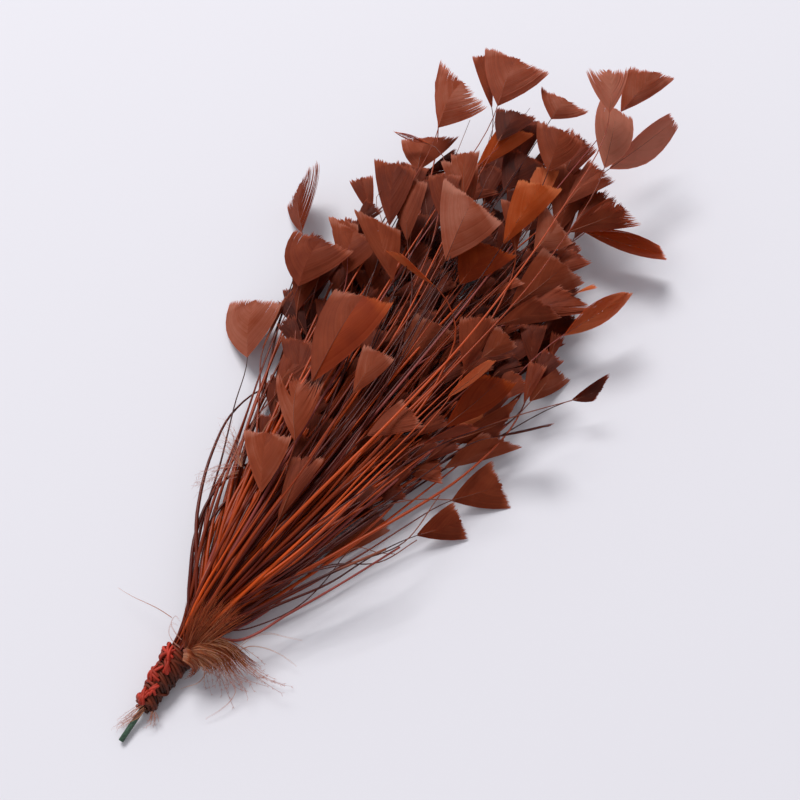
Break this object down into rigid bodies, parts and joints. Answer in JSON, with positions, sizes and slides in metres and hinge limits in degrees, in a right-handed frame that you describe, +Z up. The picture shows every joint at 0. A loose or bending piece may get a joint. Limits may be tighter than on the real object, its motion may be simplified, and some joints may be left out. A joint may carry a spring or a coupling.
{
  "type": "goose feather spray",
  "caption": "Spray of dyed goose feathers, each a bare quill with a small trimmed vane at its tip, bound with thread on a short wire and lying on its side.",
  "frame": {"origin": "middle of the footprint, on the surface that the spray lies on", "axes": "+Y from the wire's end to the feather tips, +Z up, +X to the right as seen from above with the tips away"},
  "size_m": [0.1794, 0.367, 0.0746],
  "materials": {
    "feather": "dyed feather keratin, satin quill and matte vane",
    "wire": "thin green plastic coat, satin",
    "thread": "matte dyed thread",
    "down": "soft matte down"
  },
  "bodies": {
    "root": {"stem_wire": "wire", "thread_binding": "thread", "down_plume": "down", "feather_01": "feather", "feather_02": "feather", "feather_03": "feather", "feather_04": "feather", "feather_05": "feather", "feather_06": "feather", "feather_07": "feather", "feather_08": "feather", "feather_09": "feather", "feather_10": "feather", "feather_11": "feather", "feather_12": "feather", "feather_13": "feather", "feather_14": "feather", "feather_15": "feather", "feather_16": "feather", "feather_17": "feather", "feather_18": "feather", "feather_19": "feather", "feather_20": "feather", "feather_21": "feather", "feather_22": "feather", "feather_23": "feather", "feather_24": "feather", "feather_25": "feather", "feather_26": "feather", "feather_27": "feather", "feather_28": "feather", "feather_29": "feather", "feather_30": "feather", "feather_31": "feather", "feather_32": "feather", "feather_33": "feather", "feather_34": "feather", "feather_35": "feather", "feather_36": "feather", "feather_37": "feather", "feather_38": "feather", "feather_39": "feather", "feather_40": "feather", "feather_41": "feather", "feather_42": "feather", "feather_43": "feather", "feather_44": "feather", "feather_45": "feather", "feather_46": "feather", "feather_47": "feather", "feather_48": "feather", "feather_49": "feather", "feather_50": "feather", "feather_51": "feather", "feather_52": "feather", "feather_53": "feather", "feather_54": "feather", "feather_55": "feather", "feather_56": "feather", "feather_57": "feather"}
  },
  "joints": []
}
